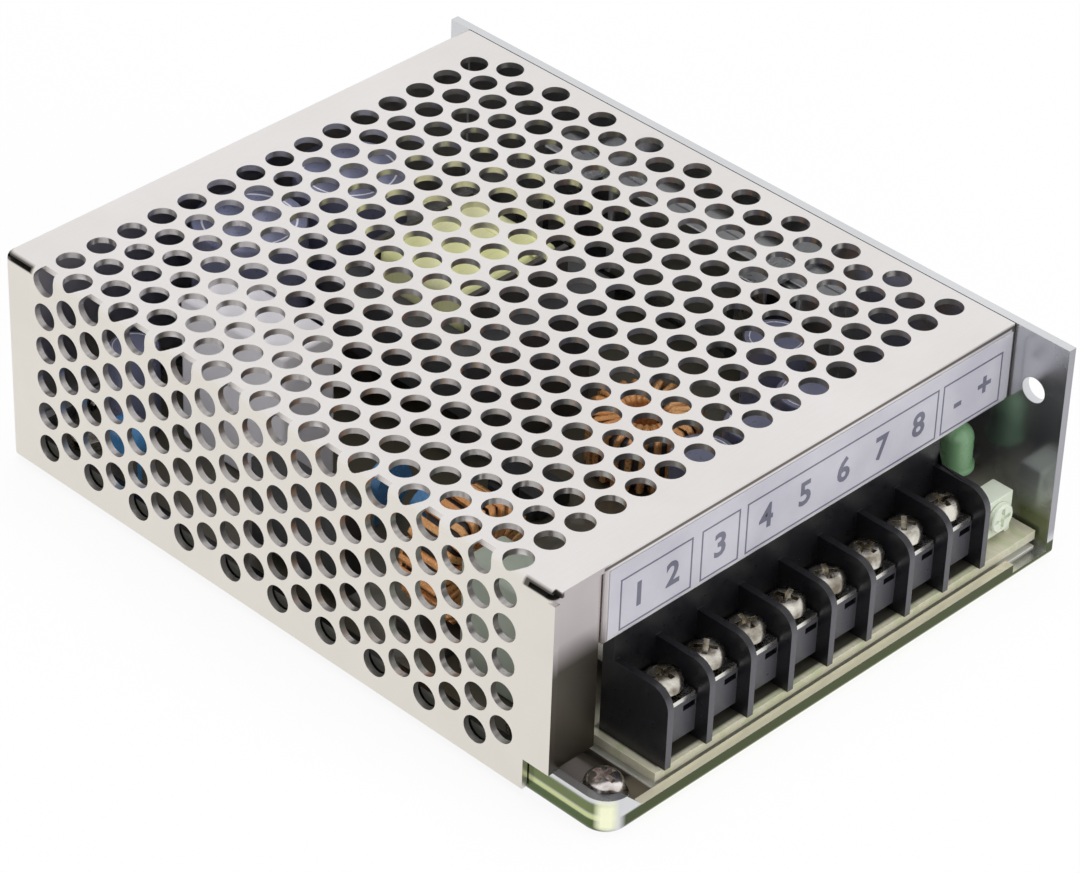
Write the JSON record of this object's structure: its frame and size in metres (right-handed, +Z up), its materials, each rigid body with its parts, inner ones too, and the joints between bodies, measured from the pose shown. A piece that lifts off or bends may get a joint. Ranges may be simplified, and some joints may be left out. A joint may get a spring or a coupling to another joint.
{
  "type": "switching power supply",
  "caption": "Enclosed switching power supply: board in a folded aluminium chassis under a perforated cover, with a screw terminal block.",
  "frame": {"origin": "centre of the overall box at the underside of the base", "axes": "+X towards the solid chassis wall, +Y towards the rear, terminals face -Y, +Z up"},
  "size_m": [0.098, 0.129, 0.038],
  "materials": {
    "bar_aluminium": "extruded bar",
    "black_moulding": "black moulded plastic",
    "blue_dip": "blue epoxy dip",
    "board_laminate": "olive solder mask",
    "pale_box": "pale moulded case",
    "chassis_aluminium": "mill finish, brushed",
    "enamelled_copper": "glossy enamel",
    "cover_aluminium": "satin, perforated",
    "ferrite": "dull dark grey",
    "fuse_sleeve": "ceramic tube with plated caps",
    "green_lens": "diffuse green lens",
    "grey_green_box": "grey green moulded case",
    "insulating_film": "matt film",
    "bobbin_moulding": "dark moulded bobbin",
    "dark_dip": "dark epoxy dip",
    "black_package": "moulded package",
    "thermal_pad": "grey pad",
    "plated_steel": "bright zinc or nickel plating",
    "grey_sleeve": "shrink sleeve with bare top",
    "spring_steel": "plated spring steel",
    "yellow_tape": "lime yellow winding tape",
    "tinned_brass": "tinned",
    "white_moulding": "white moulded plastic"
  },
  "bodies": {
    "root": {"bias_capacitor": "grey_sleeve", "board_screws": "plated_steel", "board_standoffs": "spring_steel", "bridge_rectifier": "black_package", "bulk_capacitor_1": "grey_sleeve", "bulk_capacitor_2": "grey_sleeve", "chassis": "chassis_aluminium", "choke_base": "bobbin_moulding", "choke_core": "ferrite", "choke_winding": "enamelled_copper", "circuit_board": "board_laminate", "cover_screws": "plated_steel", "filter_capacitor": "grey_green_box", "fuse": "fuse_sleeve", "green_led": "green_lens", "ground_screw": "plated_steel", "ground_washers": "plated_steel", "heat_bar": "bar_aluminium", "insulating_sheet": "insulating_film", "line_capacitor": "pale_box", "mesh_cover": "cover_aluminium", "optocouplers": "black_package", "output_capacitors": "grey_sleeve", "output_inductor_core": "ferrite", "output_inductor_winding": "enamelled_copper", "output_rectifier": "black_package", "power_transistor": "black_package", "spring_clips": "spring_steel", "terminal_block": "black_moulding", "terminal_contacts": "tinned_brass", "thermal_pads": "thermal_pad", "thermistor": "dark_dip", "transformer_bobbin": "bobbin_moulding", "transformer_core": "ferrite", "transformer_winding": "yellow_tape", "trimmer_body": "white_moulding", "varistor": "blue_dip", "y_capacitors": "blue_dip"},
    "clamp_1": {"terminal_clamp_1": "plated_steel"},
    "screw_1": {"terminal_screw_1": "plated_steel"},
    "clamp_2": {"terminal_clamp_2": "plated_steel"},
    "screw_2": {"terminal_screw_2": "plated_steel"},
    "clamp_3": {"terminal_clamp_3": "plated_steel"},
    "screw_3": {"terminal_screw_3": "plated_steel"},
    "clamp_4": {"terminal_clamp_4": "plated_steel"},
    "screw_4": {"terminal_screw_4": "plated_steel"},
    "clamp_5": {"terminal_clamp_5": "plated_steel"},
    "screw_5": {"terminal_screw_5": "plated_steel"},
    "clamp_6": {"terminal_clamp_6": "plated_steel"},
    "screw_6": {"terminal_screw_6": "plated_steel"},
    "clamp_7": {"terminal_clamp_7": "plated_steel"},
    "screw_7": {"terminal_screw_7": "plated_steel"},
    "clamp_8": {"terminal_clamp_8": "plated_steel"},
    "screw_8": {"terminal_screw_8": "plated_steel"},
    "trimmer_rotor": {"trimmer_rotor": "white_moulding"}
  },
  "joints": [
    {"name": "clamp_lift_1", "type": "slide", "parent": "root", "child": "clamp_1", "axis": [0, 0, 1], "range_m": [0, 0.0018]},
    {"name": "screw_turn_1", "type": "hinge", "parent": "clamp_1", "child": "screw_1", "pos_m": [-0.02975, -0.0575, 0.012], "axis": [0, 0, 1], "continuous": true},
    {"name": "clamp_lift_2", "type": "slide", "parent": "root", "child": "clamp_2", "axis": [0, 0, 1], "range_m": [0, 0.0018]},
    {"name": "screw_turn_2", "type": "hinge", "parent": "clamp_2", "child": "screw_2", "pos_m": [-0.02125, -0.0575, 0.012], "axis": [0, 0, 1], "continuous": true},
    {"name": "clamp_lift_3", "type": "slide", "parent": "root", "child": "clamp_3", "axis": [0, 0, 1], "range_m": [0, 0.0018]},
    {"name": "screw_turn_3", "type": "hinge", "parent": "clamp_3", "child": "screw_3", "pos_m": [-0.01275, -0.0575, 0.012], "axis": [0, 0, 1], "continuous": true},
    {"name": "clamp_lift_4", "type": "slide", "parent": "root", "child": "clamp_4", "axis": [0, 0, 1], "range_m": [0, 0.0018]},
    {"name": "screw_turn_4", "type": "hinge", "parent": "clamp_4", "child": "screw_4", "pos_m": [-0.00425, -0.0575, 0.012], "axis": [0, 0, 1], "continuous": true},
    {"name": "clamp_lift_5", "type": "slide", "parent": "root", "child": "clamp_5", "axis": [0, 0, 1], "range_m": [0, 0.0018]},
    {"name": "screw_turn_5", "type": "hinge", "parent": "clamp_5", "child": "screw_5", "pos_m": [0.00425, -0.0575, 0.012], "axis": [0, 0, 1], "continuous": true},
    {"name": "clamp_lift_6", "type": "slide", "parent": "root", "child": "clamp_6", "axis": [0, 0, 1], "range_m": [0, 0.0018]},
    {"name": "screw_turn_6", "type": "hinge", "parent": "clamp_6", "child": "screw_6", "pos_m": [0.01275, -0.0575, 0.012], "axis": [0, 0, 1], "continuous": true},
    {"name": "clamp_lift_7", "type": "slide", "parent": "root", "child": "clamp_7", "axis": [0, 0, 1], "range_m": [0, 0.0018]},
    {"name": "screw_turn_7", "type": "hinge", "parent": "clamp_7", "child": "screw_7", "pos_m": [0.02125, -0.0575, 0.012], "axis": [0, 0, 1], "continuous": true},
    {"name": "clamp_lift_8", "type": "slide", "parent": "root", "child": "clamp_8", "axis": [0, 0, 1], "range_m": [0, 0.0018]},
    {"name": "screw_turn_8", "type": "hinge", "parent": "clamp_8", "child": "screw_8", "pos_m": [0.02975, -0.0575, 0.012], "axis": [0, 0, 1], "continuous": true},
    {"name": "trimmer_turn", "type": "hinge", "parent": "root", "child": "trimmer_rotor", "pos_m": [0.041, -0.058, 0.0088], "axis": [0, 1, 0], "range_deg": [-105, 105]}
  ],
  "couplings": [
    {"joint": "screw_turn_1", "follows": "clamp_lift_1", "rad_per_m": 10472},
    {"joint": "screw_turn_2", "follows": "clamp_lift_2", "rad_per_m": 10472},
    {"joint": "screw_turn_3", "follows": "clamp_lift_3", "rad_per_m": 10472},
    {"joint": "screw_turn_4", "follows": "clamp_lift_4", "rad_per_m": 10472},
    {"joint": "screw_turn_5", "follows": "clamp_lift_5", "rad_per_m": 10472},
    {"joint": "screw_turn_6", "follows": "clamp_lift_6", "rad_per_m": 10472},
    {"joint": "screw_turn_7", "follows": "clamp_lift_7", "rad_per_m": 10472},
    {"joint": "screw_turn_8", "follows": "clamp_lift_8", "rad_per_m": 10472}
  ]
}
